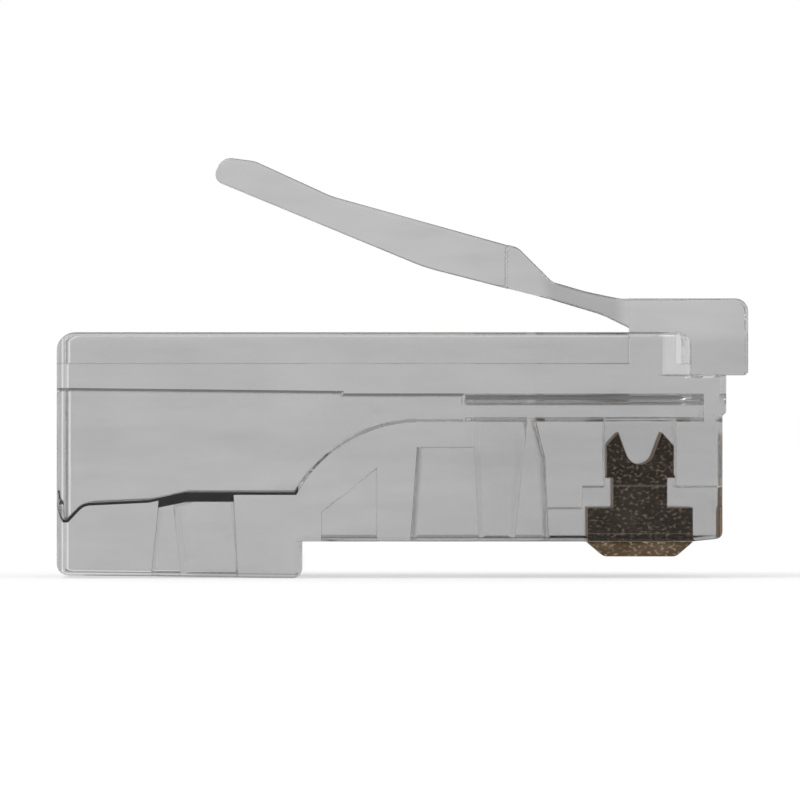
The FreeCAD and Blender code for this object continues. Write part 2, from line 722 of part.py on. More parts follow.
def make_latch_web():
    """The thin strip at the nose that bends when the latch is pressed."""
    body = new_body("latch_web")
    sketch = outline(
        body,
        "web_outline",
        [
            (ROOT, "body_height + root_low"),
            (ROOT, NOSE_TOP),
            (f"{ROOT} - web_blend", NOSE_TOP, "-web_sag"),
            latch_place("web_length", "web_high"),
            latch_place("web_length", "web_low"),
        ],
    )
    extrude(body, "Pad", "web", sketch, "nose_width")


# ---- the contacts ----


def make_contact(number):
    """One plated blade: contact edge, base, neck and two piercing prongs with a round notch."""
    body = new_body(f"contact_{number}", f"pitch * ({number} - (wire_count + 1) / 2)")
    depth = "(notch_height - notch_bottom)"
    rear = [
        ("edge_half", "edge_height"),
        ("base_half", "base_taper"),
        ("base_half", "base_top"),
        ("neck_half", "base_top"),
        ("neck_half", "neck_top"),
        ("prong_half + barb", "neck_top"),
        ("prong_half", "neck_top + barb_length"),
        ("prong_half", "shoulder_height"),
        ("tip_spread", "tip_height"),
        ("notch_half", "notch_height"),
    ]
    front = [(f"-blade_back + ({half})", height) for half, height in rear]
    mirrored = [(f"-blade_back - ({half})", height) for half, height in reversed(rear)]
    front[-1] += (f"-(notch_half^2 + {depth}^2) / (2 * {depth})",)
    extrude(body, "Pad", "blade", outline(body, "blade_outline", front + mirrored), "blade_thickness")
    ends = [{"x": f"-blade_back {sign} edge_half", "z": "edge_height"} for sign in ("-", "+")]
    round_edges(body, "edge_corners", "y", ends, "edge_round")


def check_and_write():
    """Stop if anything failed to build, then write one file per sub-part."""
    document.recompute()
    for item in document.Objects:
        if "Invalid" in item.State or "Error" in item.State:
            raise RuntimeError(f"{item.Label} did not build: {item.State}")
    bodies = [item for item in document.Objects if item.TypeId == "PartDesign::Body"]
    for body in bodies:
        if body.Shape.isNull() or not body.Shape.isValid():
            raise RuntimeError(f"{body.Label} has no valid shape")
    os.makedirs("parts", exist_ok=True)
    for body in bodies:
        body.Shape.exportStep(f"parts/{body.Label}.step")


fill_sheet()
make_housing()
make_latch()
make_latch_web()
make_jacket_clamp()
make_wire_clamp()
for contact_number in range(1, int(SIZES["wire_count"]) + 1):
    make_contact(contact_number)
check_and_write()
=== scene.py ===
import math

import bpy
import numpy as np
from bpy.props import FloatProperty, FloatVectorProperty, IntProperty, PointerProperty
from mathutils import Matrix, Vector


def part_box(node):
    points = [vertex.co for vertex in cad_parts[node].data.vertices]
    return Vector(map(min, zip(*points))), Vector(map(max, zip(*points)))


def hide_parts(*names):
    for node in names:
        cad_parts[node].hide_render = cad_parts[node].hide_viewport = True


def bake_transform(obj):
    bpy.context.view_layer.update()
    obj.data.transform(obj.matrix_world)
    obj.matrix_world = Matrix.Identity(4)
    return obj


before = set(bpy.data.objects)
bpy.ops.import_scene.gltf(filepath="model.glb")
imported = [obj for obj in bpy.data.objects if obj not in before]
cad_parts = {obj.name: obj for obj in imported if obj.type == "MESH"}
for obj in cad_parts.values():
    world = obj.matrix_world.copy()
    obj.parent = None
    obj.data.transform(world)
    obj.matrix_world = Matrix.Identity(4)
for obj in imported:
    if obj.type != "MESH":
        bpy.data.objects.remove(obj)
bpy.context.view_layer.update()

# Finishes for an uncrimped eight-way modular cable plug: a clear moulding whose spring latch is one
# bent bar with its nose, two crimp clamps in its underside, and a row of plated contact blades.

bl_info = {
    "name": "Modular Plug Finishes",
    "version": (1, 0, 0),
    "blender": (4, 5, 0),
    "location": "View3D > Sidebar > Modular Plug",
    "description": "Builds the bent latch and the finishes of a clear modular cable plug",
    "category": "Object",
}

MM = 0.001
NOSE_RISE = 1.095 * MM  # the nose's top over the moulding's top
WELL_DEPTH = 1.01 * MM  # of the well under the latch
SHELF = 6.47 * MM  # height of the shelves beside the nose
SHOULDER = 3.88 * MM  # the nose to the latch's locking shoulders

# The clear plastic's looks, its painted shade and painted highlights among them, go by these places,
# which fit this plug's size: along it and across it from its middle, and up from its base. A pair is
# where the place starts and ends.
RAIL_END = 9.15 * MM  # along: the end of the rails beside the nose
RAIL_FRONT = 8.0 * MM  # along: the rails' last part, with their round ends
FRONT_FACE = 10.13 * MM  # along: just behind the front face
FRONT_ROUNDS = 9.88 * MM  # along: the front face's upright rounds, from here on
UNDER_FRONT = -3.50 * MM  # along: the higher underside in front of the foot, from here on
RAMP_START = -3.36 * MM  # along: where the ramp rises from the cavity's floor
FRONT_FADE = (-4.0 * MM, 5.0 * MM)  # along: painted shade darkens the plastic towards the contacts
FILM_ALONG = (2.18 * MM, 2.46 * MM)  # along: the film that holds the wire clamp
CAVITY_END = (1.86 * MM, 1.98 * MM)  # along: the upright bevels at the cavity's inner end
CORNERS = 5.50 * MM  # across: the outermost upright rounds, from here on
RAIL_SIDE = 4.70 * MM  # across: the rails' outer sides, from here on
NOSE_HALF = 3.0 * MM  # across: half the nose's width, nearly
NOSE_SIDES = (2.95 * MM, 3.10 * MM)  # across: the nose's sides
WELL_HALF = 3.15 * MM  # across: half the well's width, with a little over
FLOOR_BEVELS = (3.60 * MM, 4.16 * MM)  # across: the bevels beside the cavity's floor
WINDOW_SIDES = (3.35 * MM, 4.06 * MM)  # across: the windows' and the clamps' corners
CAVITY_CORNERS = (4.05 * MM, 4.16 * MM)  # across: the cavity's corners
BEVEL_LEVELS = (1.60 * MM, 5.0 * MM)  # up: the bevels beside the cavity's floor
WINDOW_TOP = 5.10 * MM  # up: the windows' top, with a little over
FILM_LEVELS = (4.19 * MM, 5.09 * MM)  # up: the film that holds the wire clamp
FOOT_FADE = (3.6 * MM, 5.2 * MM)  # up: the foot's painted shade fades out
TOP_FADE = (4.8 * MM, 6.2 * MM)  # up: the front's painted shade fades to a half
FOOT_UNDERSIDE = 0.12 * MM  # how far the foot's underside reaches up, with its draft
FRONT_UNDERSIDE = 1.30 * MM  # the same for the underside in front of the foot
RIM = 0.16 * MM  # how far the cable end's rim reaches in, which also bounds its painted shade
TOUCH = 0.004 * MM  # how near a wall is to the joint that it lies in
ROOT_SIDE = 0.1 * MM  # how near the nose's sides are to the edge where the latch leaves it
SHOULDER_SIDE = 0.12 * MM  # how near the locking shoulders' corners are to them
END_ROUND = 0.28 * MM  # how far the upright rounds at the cable end reach in

# The contacts' paler foot and painted highlight lines.
BARE_FOOT = (1.0 * MM, 1.2 * MM)  # up: below this the blade's foot is paler
LEDGE_HIGHLIGHT_HALF = 0.035 * MM  # half the height of the painted highlight line beside the slot's ledge
SEAT_HIGHLIGHT_HALF = 0.018 * MM  # half the height of the fine painted highlight line across the base

# The latch's mesh.
STUB = 0.04 * MM  # how far the latch's root is sunk in the nose
STUB_STEP = 0.005 * MM  # how much narrower the sunk part is
CAP_END = 0.15 * MM  # radius of the tip's corners, seen from above
TIP_CROWD = 1.2 * MM  # length at the tip where the stations close up
FLAT_MARGIN = 0.02 * MM  # the flats' extra points, beside each corner
ARC_POINTS = 7  # points of a quarter circle
SHARP_TURN = 32.0  # degrees: edges that turn more than this stay sharp

# The stage.
CAMERA_ALONG = -0.11 * MM  # the camera's place along the plug
CAMERA_UP = 5.68 * MM  # the camera's height
AIM = (0.0, 0.0, 0.006)  # the point that the lights face
SOFTBOX = 0.30  # side of each softbox
KEY_PLACE = (-0.25, -0.30, 0.45)
FILL_PLACE = (0.35, -0.35, 0.15)
FILL_SHARE = 0.4  # the fill's power over the key's
WORLD_LIGHT = 0.75  # how strongly the world lights the plug and the floor
FLOOR_HALF = 1.2  # half the floor's side
FLOOR_GREY = 0.35  # the floor's own colour
FLOOR_GLOW = (0.548, 0.735)  # what it adds where it is seen, near and far, to come to white
FLOOR_RUN = (-0.3, 0.6)  # from where to where that glow grows, away from the camera
OVERHEAD = (0.15, 0.75)  # height of the sky at which it starts and stops to darken
BEHIND = (-0.9, -0.2)  # the same behind the camera, going round to the sides

# How squarely a facet faces an axis: one is straight at it, and none is edge on.
FLAT_SIDE = 0.985  # a flat side wall
NEARLY_FLAT_SIDE = 0.9995  # one that isn't even a little rounded
UPRIGHT = 0.15  # an upright wall faces up by less than this
STRICTLY_UPRIGHT = 0.10  # the same, for the clean walls inside
LEAN_LEFT = 0.22  # share of a tight round's lean along the plug that is left

CLEAR_NODES = ("housing", "jacket_clamp", "wire_clamp")
CONTACTS = [name for name in sorted(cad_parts) if name.startswith("contact_")]


# ---- values that a user would change ----


class PlugPlasticSettings(bpy.types.PropertyGroup):
    """Look of the clear moulding, with its painted shade and painted highlights."""

    # Painted shade: the plastic is clear, and this grey stands in for the dim backdrop that shows
    # through it.
    tint: FloatVectorProperty(
        name="Smoky tint",
        description="Light left after the outer skin has been crossed twice",
        subtype="COLOR",
        size=3,
        min=0.0,
        max=1.0,
        default=(0.458, 0.458, 0.458),
    )
    # Painted shade, a lighter grey, for the thinner nose and latch.
    nose_tint: FloatVectorProperty(
        name="Nose and latch tint",
        description="The same, for the thinner nose and latch",
        subtype="COLOR",
        size=3,
        min=0.0,
        max=1.0,
        default=(0.515, 0.515, 0.515),
    )
    # Painted shade: a dark matt colour on the clear bevels, standing in for the dark lines they show as
    # they turn the light aside.
    inner_edge_shade: FloatVectorProperty(
        name="Inner edges",
        description="Colour of the narrow bevelled inner edges, which turn the light aside",
        subtype="COLOR",
        size=3,
        min=0.0,
        max=1.0,
        default=(0.09, 0.09, 0.09),
    )
    # Painted highlight: the rails' round ends get a lighter grey than the skin, standing in for the
    # bright band that side light puts on them.
    rail_painted_highlight: FloatVectorProperty(
        name="Rail end tint",
        description="Light left after the rails' round ends have been crossed twice",
        subtype="COLOR",
        size=3,
        min=0.0,
        max=1.0,
        default=(0.65, 0.65, 0.65),
    )
    # Painted highlight: the upright rounds at the cable end are left clear, standing in for the bright
    # band that side light puts there.
    end_painted_highlight: FloatVectorProperty(
        name="Cable end tint",
        description="The same, for the upright rounds at the cable end",
        subtype="COLOR",
        size=3,
        min=0.0,
        max=1.0,
        default=(1.0, 1.0, 1.0),
    )
    # Painted shade: the plastic is darkened round the contacts.
    front_painted_shade: FloatProperty(
        name="Front shade",
        description="Share of the tint that is left round the contacts",
        default=0.885,
        min=0.0,
        max=1.0,
    )
    # Painted shade: the lower half of the plastic is darkened.
    foot_painted_shade: FloatProperty(
        name="Foot shade",
        description="Share of the tint that is left in the lower half",
        default=0.935,
        min=0.0,
        max=1.0,
    )
    # Painted shade: the cable end's outermost rim is darkened.
    rim_painted_shade: FloatProperty(
        name="Rim shade",
        description="Share of the tint that is left along the cable end's outermost rim",
        default=0.936,
        min=0.0,
        max=1.0,
    )
    # Painted shade: the strip where the latch bends is darkened.
    bend_painted_shade: FloatProperty(
        name="Web shade",
        description="Share of the tint that is left in the strained strip that bends",
        default=0.80,
        min=0.0,
        max=1.0,
    )
    mirror: FloatProperty(
        name="Mirror",
        description="Share of the bare surface reflection that the plastic keeps",
        default=0.28,
        min=0.0,
        max=1.0,
    )
    edge_soft: FloatProperty(
        name="Edge softness",
        description="Radius of the small rounding of the moulding's inner edges",
        subtype="DISTANCE",
        default=0.07 * MM,
    )
    refraction: FloatProperty(
        name="Refraction",
        description="Index of refraction of the plastic",
        default=1.58,
        min=1.0,
        max=2.0,
    )
    gloss: FloatProperty(
        name="Surface roughness",
        description="Roughness of the polished mould's print",
        default=0.02,
        min=0.0,
        max=1.0,
    )


class PlugLatchSettings(bpy.types.PropertyGroup):
    """Sizes of the spring latch."""

    lever_width: FloatProperty(
        name="Lever width",
        description="Width of the finger lever behind the locking shoulders",
        subtype="DISTANCE",
        default=3.25 * MM,
    )
    edge_round: FloatProperty(
        name="Edge rounding",
        description="Radius of the long edges",
        subtype="DISTANCE",
        default=0.09 * MM,
    )
    shoulder_fillet: FloatProperty(
        name="Shoulder fillet",
        description="Inner corners where the lever leaves the locking shoulders",
        subtype="DISTANCE",
        default=0.09 * MM,
    )
    shoulder_round: FloatProperty(
        name="Shoulder rounding",
        description="Outer corners of the locking shoulders",
        subtype="DISTANCE",
        default=0.04 * MM,
    )
    stations: IntProperty(
        name="Stations", description="Cross-sections along the latch", default=260, min=60, max=800
    )


class PlugContactSettings(bpy.types.PropertyGroup):
    """Look of the contact blades."""

    face_colour: FloatVectorProperty(
        name="Face colour",
        description="Bronze of the stamped faces",
        subtype="COLOR",
        size=3,
        min=0.0,
        max=1.0,
        default=(0.042, 0.027, 0.013),
    )
    # Partly painted light: pale specks that stand in for glints on the speckled plating, as well as the
    # plating's own mottle.
    speck_colour: FloatVectorProperty(
        name="Speck colour",
        description="Plating left in specks on the stamped faces",
        subtype="COLOR",
        size=3,
        min=0.0,
        max=1.0,
        default=(0.52, 0.39, 0.27),
    )
    edge_colour: FloatVectorProperty(
        name="Edge colour",
        description="Gold of the plated edges",
        subtype="COLOR",
        size=3,
        min=0.0,
        max=1.0,
        default=(0.86, 0.58, 0.36),
    )
    # Painted highlight: pale lines along the blades' sharp edges, standing in for light caught on them.
    edge_highlight_colour: FloatVectorProperty(
        name="Worn colour",
        description="Pale line where the plating is rubbed along the sharp edges",
        subtype="COLOR",
        size=3,
        min=0.0,
        max=1.0,
        default=(0.90, 0.74, 0.65),
    )
    # Width of the painted highlight lines along the sharp edges.
    edge_highlight_width: FloatProperty(
        name="Worn width", description="Width of that line", subtype="DISTANCE", default=0.035 * MM
    )
    # Painted highlight: a pale line beside the slot's ledge, standing in for light caught there.
    ledge_highlight: FloatProperty(
        name="Ledge mark",
        description="Level of the rubbed mark beside the slot's ledge",
        subtype="DISTANCE",
        default=2.94 * MM,
    )
    # Painted highlight: a fine pale line across the base, where the moulding's lower edge lies in
    # front.
    seat_highlight: FloatProperty(
        name="Seat mark",
        description="Level of the fine mark across the base",
        subtype="DISTANCE",
        default=1.415 * MM,
    )


class PlugStageSettings(bpy.types.PropertyGroup):
    """Camera distance and the studio light."""

    camera_distance: FloatProperty(
        name="Camera distance",
        description="Lens to the plug's middle plane",
        subtype="DISTANCE",
        default=0.480,
    )
    focal_length: FloatProperty(
        name="Focal length", description="Lens on a 36 mm sensor, in millimetres", default=670.0
    )
    key_power: FloatProperty(
        name="Key light",
        description="Power of the large soft light above",
        subtype="POWER",
        default=1.6,
    )


# ---- material helpers ----


def add_node(tree, kind, **values):
    """Add a node; keywords are its properties, or its inputs where a socket has that name."""
    made = tree.nodes.new(kind)
    for name, value in values.items():
        setattr(made, name, value)
    return made


def put(tree, socket, value):
    """Link a socket to another, or set its value."""
    if isinstance(value, bpy.types.NodeSocket):
        tree.links.new(value, socket)
    else:
        socket.default_value = value


def calc(tree, operation, *inputs, clamp=False):
    """A Math node on the inputs, which are sockets or numbers."""
    made = add_node(tree, "ShaderNodeMath", operation=operation, use_clamp=clamp)
    for socket, value in zip(made.inputs, inputs):
        put(tree, socket, value)
    return made.outputs[0]


def ramp(tree, factor, low, high, start=0.0, end=1.0):
    """A Map Range node from low..high to start..end, smooth and clamped."""
    made = add_node(tree, "ShaderNodeMapRange", interpolation_type="SMOOTHSTEP", clamp=True)
    for name, value in (
        ("Value", factor),
        ("From Min", low),
        ("From Max", high),
        ("To Min", start),
        ("To Max", end),
    ):
        put(tree, made.inputs[name], value)
    return made.outputs["Result"]


def noise(tree, place, scale, detail=2.0, stretch=(1.0, 1.0, 1.0)):
    """A Noise Texture on a place; scale is in waves a metre, and stretch slows it along an axis."""
    mapping = add_node(tree, "ShaderNodeMapping")
    put(tree, mapping.inputs["Vector"], place)
    put(tree, mapping.inputs["Scale"], Vector(stretch) * scale)
    made = add_node(tree, "ShaderNodeTexNoise")
    put(tree, made.inputs["Vector"], mapping.outputs["Vector"])
    put(tree, made.inputs["Scale"], 1.0)
    put(tree, made.inputs["Detail"], detail)
    return made.outputs["Fac"]


def blend_colours(tree, factor, first, second):
    """A colour Mix node from first to second."""
    made = add_node(tree, "ShaderNodeMix", data_type="RGBA")
    put(tree, made.inputs["Factor"], factor)
    put(tree, made.inputs["A"], first)
    put(tree, made.inputs["B"], second)
    return made.outputs["Result"]


def start_material(name):
    """A new node material: its tree, its Principled shader and its Object coordinates."""
    material = bpy.data.materials.new(name)
    material.use_nodes = True
    tree = material.node_tree
    tree.nodes.clear()
    shader = add_node(tree, "ShaderNodeBsdfPrincipled")
    output = add_node(tree, "ShaderNodeOutputMaterial")
    tree.links.new(shader.outputs["BSDF"], output.inputs["Surface"])
    place = add_node(tree, "ShaderNodeTexCoord").outputs["Object"]
    return material, tree, shader, place


def opaque(colour):
    """A colour with an alpha of one."""
    return (*colour, 1.0)


# ---- the clear plastic ----


def above(tree, value, level):
    """One where a value is over a level."""
    return calc(tree, "GREATER_THAN", value, level)


def below(tree, value, level):
    """One where a value is under a level."""
    return calc(tree, "LESS_THAN", value, level)


def both(tree, first, second):
    """One where two tests are both one."""
    return calc(tree, "MULTIPLY", first, second)


def split_place(tree, place):
    """The place along the plug, across it and up."""
    split = add_node(tree, "ShaderNodeSeparateXYZ")
    put(tree, split.inputs[0], place)
    return split.outputs[0], split.outputs[1], split.outputs[2]


def facet_facing(tree):
    """How far each facet faces along the plug, across it and up, from none to one."""
    split = add_node(tree, "ShaderNodeSeparateXYZ")
    put(tree, split.inputs[0], add_node(tree, "ShaderNodeNewGeometry").outputs["True Normal"])
    return [calc(tree, "ABSOLUTE", split.outputs[axis]) for axis in ("X", "Y", "Z")]


def within(tree, value, low, high):
    """One where a value is between two levels."""
    return both(tree, above(tree, value, low), below(tree, value, high))


def outer_skin(tree, place):
    """One on the plug's flat outside, none on the walls inside and on the rounded upright corners."""
    low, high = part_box("housing")
    top = high.z - NOSE_RISE
    along, across, up = split_place(tree, place)
    side = calc(tree, "ABSOLUTE", across)
    flat = above(tree, facet_facing(tree)[1], FLAT_SIDE)
    front_top = both(tree, above(tree, up, top - 0.10 * MM), above(tree, along, RAIL_END))
    nose_sides = both(tree, above(tree, up, SHELF), above(tree, along, RAIL_END))
    nose_sides = both(tree, nose_sides, within(tree, side, *NOSE_SIDES))
    tests = [
        both(tree, above(tree, side, high.y - 0.02 * MM), flat),
        both(tree, above(tree, side, NOSE_HALF), both(tree, above(tree, up, top + 0.02 * MM), flat)),
        both(tree, nose_sides, flat),
        both(tree, above(tree, up, top - 0.05 * MM), below(tree, along, RAIL_END)),
        below(tree, along, low.x + RIM),
        above(tree, along, FRONT_FACE),
        both(tree, above(tree, along, FRONT_ROUNDS), above(tree, side, CORNERS)),
        front_top,
        below(tree, up, low.z + FOOT_UNDERSIDE),
        both(tree, below(tree, side, WELL_HALF), above(tree, up, top - WELL_DEPTH - 0.02 * MM)),
        both(tree, above(tree, along, UNDER_FRONT), below(tree, up, low.z + FRONT_UNDERSIDE)),
    ]
    total = tests[0]
    for test in tests[1:]:
        total = calc(tree, "MAXIMUM", total, test)
    return total


def inner_bevels(tree, place):
    """One on the narrow bevels along the cavity's floor and beside the jacket clamp."""
    along, across, up = split_place(tree, place)
    _, sideways, upward = facet_facing(tree)
    slanted = both(tree, within(tree, sideways, 0.30, 0.95), above(tree, upward, 0.35))
    beside = within(tree, calc(tree, "ABSOLUTE", across), *FLOOR_BEVELS)
    behind = both(tree, below(tree, along, RAMP_START), within(tree, up, *BEVEL_LEVELS))
    return both(tree, slanted, both(tree, beside, behind))


def window_corners(tree, place):
    """One on the upright walls and rounds of the windows and of the clamps that hang in them."""
    _, across, up = split_place(tree, place)
    _, sideways, upward = facet_facing(tree)
    turned = both(tree, above(tree, sideways, 0.05), below(tree, upward, UPRIGHT))
    beside = within(tree, calc(tree, "ABSOLUTE", across), *WINDOW_SIDES)
    return both(tree, both(tree, turned, beside), below(tree, up, WINDOW_TOP))


def nose_root(tree, place):
    """One on the nose's sides close to the edge where the latch leaves it."""
    along, _, up = split_place(tree, place)
    web_low, web_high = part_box("latch_web")
    close = within(tree, along, web_high.x - ROOT_SIDE, web_high.x + ROOT_SIDE)
    return both(tree, close, above(tree, up, web_low.z))


def shoulder_corners(tree, place):
    """One on the upright corners of the latch's locking shoulders."""
    along, _, _ = split_place(tree, place)
    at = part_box("latch_web")[1].x - SHOULDER
    upright = below(tree, facet_facing(tree)[2], UPRIGHT)
    return both(tree, upright, within(tree, along, at - SHOULDER_SIDE, at + SHOULDER_SIDE))


def flatten_facing(tree, facing, factor):
    """A normal that leans less along the plug, so that a tight round bends the light only a little."""
    squeeze = add_node(tree, "ShaderNodeVectorMath", operation="MULTIPLY")
    put(tree, squeeze.inputs[0], facing)
    put(tree, squeeze.inputs[1], (LEAN_LEFT, 1.0, 1.0))
    level = add_node(tree, "ShaderNodeVectorMath", operation="NORMALIZE")
    put(tree, level.inputs[0], squeeze.outputs[0])
    chosen = add_node(tree, "ShaderNodeMix", data_type="VECTOR")
    put(tree, chosen.inputs["Factor"], factor)
    put(tree, chosen.inputs["A"], facing)
    put(tree, chosen.inputs["B"], level.outputs[0])
    return chosen.outputs["Result"]


def rail_rounds(tree, place):
    """One on the rails' round ends."""
    along, across, up = split_place(tree, place)
    beside = above(tree, calc(tree, "ABSOLUTE", across), RAIL_SIDE)
    outside = both(tree, above(tree, up, SHELF), beside)
    turned = both(tree, above(tree, along, RAIL_FRONT), below(tree, facet_facing(tree)[1], FLAT_SIDE))
    return both(tree, outside, turned)


def end_rounds(tree, place):
    """One on the upright rounds at the cable end."""
    along, across, _ = split_place(tree, place)
    outside = above(tree, calc(tree, "ABSOLUTE", across), CORNERS)
    return both(tree, outside, below(tree, along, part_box("housing")[0].x + END_ROUND))


def folding_film(tree, place):
    """One on the two upright walls that the wire clamp's film joins, as high as the film reaches."""
    along, _, up = split_place(tree, place)
    _, sideways, upward = facet_facing(tree)
    upright = both(tree, below(tree, sideways, NEARLY_FLAT_SIDE), below(tree, upward, STRICTLY_UPRIGHT))
    spot = both(tree, within(tree, along, *FILM_ALONG), within(tree, up, *FILM_LEVELS))
    return both(tree, spot, upright)


def cavity_end(tree, place):
    """One on the upright bevels at the cavity's inner end."""
    along, across, _ = split_place(tree, place)
    _, sideways, upward = facet_facing(tree)
    slanted = within(tree, sideways, 0.05, NEARLY_FLAT_SIDE)
    upright = both(tree, slanted, below(tree, upward, STRICTLY_UPRIGHT))
    beside = within(tree, calc(tree, "ABSOLUTE", across), *CAVITY_CORNERS)
    return both(tree, upright, both(tree, beside, within(tree, along, *CAVITY_END)))


def shade(tree, factor, least):
    """One where a factor is none, falling to the least value where it is one."""
    return calc(tree, "SUBTRACT", 1.0, calc(tree, "MULTIPLY", factor, 1.0 - least))


def painted_shade_strength(tree, place, settings):
    """How much of the tint's light is left: painted shade, less at the contacts, the foot, the rim and
    the bend, with streaks that vary it at random.
    """
    along, _, up = split_place(tree, place)
    web_low, web_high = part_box("latch_web")
    front = both(tree, ramp(tree, along, *FRONT_FADE), ramp(tree, up, *TOP_FADE, 1.0, 0.50))
    rim = below(tree, along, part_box("housing")[0].x + RIM)
    foot = ramp(tree, up, *FOOT_FADE, 1.0, 0.0)
    bend = ramp(tree, along, web_low.x - 0.4 * MM, web_low.x + 0.2 * MM)
    bend = both(tree, bend, ramp(tree, along, web_high.x - 0.5 * MM, web_high.x, 1.0, 0.0))
    bend = both(tree, bend, above(tree, up, web_low.z - 0.2 * MM))
    streaks = noise(tree, place, 1500.0, 3.0, stretch=(0.25, 0.05, 1.0))
    left = shade(tree, front, settings.front_painted_shade)
    left = both(tree, left, shade(tree, foot, settings.foot_painted_shade))
    left = both(tree, left, shade(tree, bend, settings.bend_painted_shade))
    left = both(tree, left, shade(tree, rim, settings.rim_painted_shade))
    return both(tree, left, ramp(tree, streaks, 0.35, 0.70, 1.02, 0.95))


def mix_shaders(tree, factor, first, second):
    """A Mix Shader node from first to second."""
    mixed = add_node(tree, "ShaderNodeMixShader")
    put(tree, mixed.inputs[0], factor)
    tree.links.new(first, mixed.inputs[1])
    tree.links.new(second, mixed.inputs[2])
    return mixed.outputs[0]


def let_through(tree, surface, buried):
    """A surface that lets light straight through where two pieces are one lump of plastic."""
    return mix_shaders(tree, buried, surface, add_node(tree, "ShaderNodeBsdfTransparent").outputs[0])


def show_surface(tree, surface):
    """Send a surface to the material's output."""
    output = next(item for item in tree.nodes if item.type == "OUTPUT_MATERIAL")
    tree.links.new(surface, output.inputs["Surface"])


def joint_in_nose(tree, place):
    """One on the part of the nose's rear face that the latch grows out of."""
    along, _, up = split_place(tree, place)
    web_low, web_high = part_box("latch_web")
    near = below(tree, calc(tree, "ABSOLUTE", calc(tree, "SUBTRACT", along, web_high.x)), TOUCH)
    upright = above(tree, facet_facing(tree)[0], 0.9)
    return both(tree, both(tree, near, upright), above(tree, up, web_low.z + 0.02 * MM))


def joint_in_latch(tree, place):
    """One where the latch's root is buried in the nose."""
    return above(tree, split_place(tree, place)[0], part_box("latch_web")[1].x + 0.0005 * MM)


def blend_cloud(tree, cloud, tint):
    """A tint that a cloud pattern lightens by a twentieth."""
    lighter = opaque([channel * 1.05 for channel in tint])
    return blend_colours(tree, ramp(tree, cloud, 0.35, 0.65), opaque(tint), lighter)


def above_top(tree, place):
    """One above the moulding's top, where the nose and the latch are."""
    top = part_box("housing")[1].z - NOSE_RISE
    return ramp(tree, split_place(tree, place)[2], top - 0.4 * MM, top + 0.1 * MM)


def shade_bevels(tree, place, surface, settings):
    """A surface whose narrow inner bevels are painted dark and matt: painted shade for the dark lines
    these bevels show as they turn the light aside.
    """
    painted_dark = add_node(tree, "ShaderNodeBsdfDiffuse")
    put(tree, painted_dark.inputs["Color"], opaque(settings.inner_edge_shade))
    return mix_shaders(tree, inner_bevels(tree, place), surface, painted_dark.outputs[0])


def make_clear_plastic(settings, name, skin_only):
    """Clear moulded plastic: polished, with faint flow marks, and tinted by its skin with a grey that
    is painted shade for the dim backdrop seen through the plastic.

    With skin_only the painted shade is on the plug's outside alone, and the walls inside it are clear,
    with a lighter grey on the rails' round ends as painted highlight.
    """
    material, tree, shader, place = start_material(name)
    white = (1.0, 1.0, 1.0, 1.0)
    cloud = noise(tree, place, 380.0, 3.0)
    high = blend_cloud(tree, cloud, settings.nose_tint)
    low = blend_cloud(tree, cloud, settings.tint) if skin_only else high
    colour = blend_colours(tree, above_top(tree, place), low, high)
    # Painted shade by place: darker at the contacts, the foot, the rim and the bend.
    colour = blend_colours(tree, painted_shade_strength(tree, place, settings), (0.0, 0.0, 0.0, 1.0), colour)
    surface = shader.outputs["BSDF"]
    if skin_only:
        # Painted highlights: a lighter grey on the rails' round ends and on the cable end's rounds.
        inside = blend_colours(tree, rail_rounds(tree, place), white, opaque(settings.rail_painted_highlight))
        inside = blend_colours(tree, end_rounds(tree, place), inside, opaque(settings.end_painted_highlight))
        colour = blend_colours(tree, outer_skin(tree, place), inside, colour)
        # Painted shade: the narrow inner bevels are dark and matt.
        surface = shade_bevels(tree, place, surface, settings)
        joined = calc(tree, "MAXIMUM", joint_in_nose(tree, place), folding_film(tree, place))
        joined = calc(tree, "MAXIMUM", joined, cavity_end(tree, place))
    else:
        joined = joint_in_latch(tree, place)
    show_surface(tree, let_through(tree, surface, joined))
    put(tree, shader.inputs["Base Color"], colour)
    put(tree, shader.inputs["Specular Tint"], (settings.mirror, settings.mirror, settings.mirror, 1.0))
    put(tree, shader.inputs["Transmission Weight"], 1.0)
    put(tree, shader.inputs["IOR"], settings.refraction)
    smear = noise(tree, place, 900.0, 4.0, stretch=(0.3, 1.0, 1.0))
    rough = ramp(tree, smear, 0.4, 0.8, settings.gloss, settings.gloss * 2.5)
    put(tree, shader.inputs["Roughness"], rough)
    bump = add_node(tree, "ShaderNodeBump")
    flow = noise(tree, place, 260.0, 2.0, stretch=(0.5, 1.0, 1.0))
    put(tree, bump.inputs["Height"], flow)
    put(tree, bump.inputs["Strength"], 0.15)
    put(tree, bump.inputs["Distance"], 0.01 * MM)
    if skin_only:
        soft = add_node(tree, "ShaderNodeBevel", samples=6)
        put(tree, soft.inputs["Radius"], settings.edge_soft)
        calm = calc(tree, "MAXIMUM", window_corners(tree, place), nose_root(tree, place))
        leaning = flatten_facing(tree, soft.outputs["Normal"], calm)
    else:
        facing = add_node(tree, "ShaderNodeNewGeometry").outputs["Normal"]
        leaning = flatten_facing(tree, facing, shoulder_corners(tree, place))
    put(tree, bump.inputs["Normal"], leaning)
    put(tree, shader.inputs["Normal"], bump.outputs["Normal"])
    return material


# ---- the contacts ----


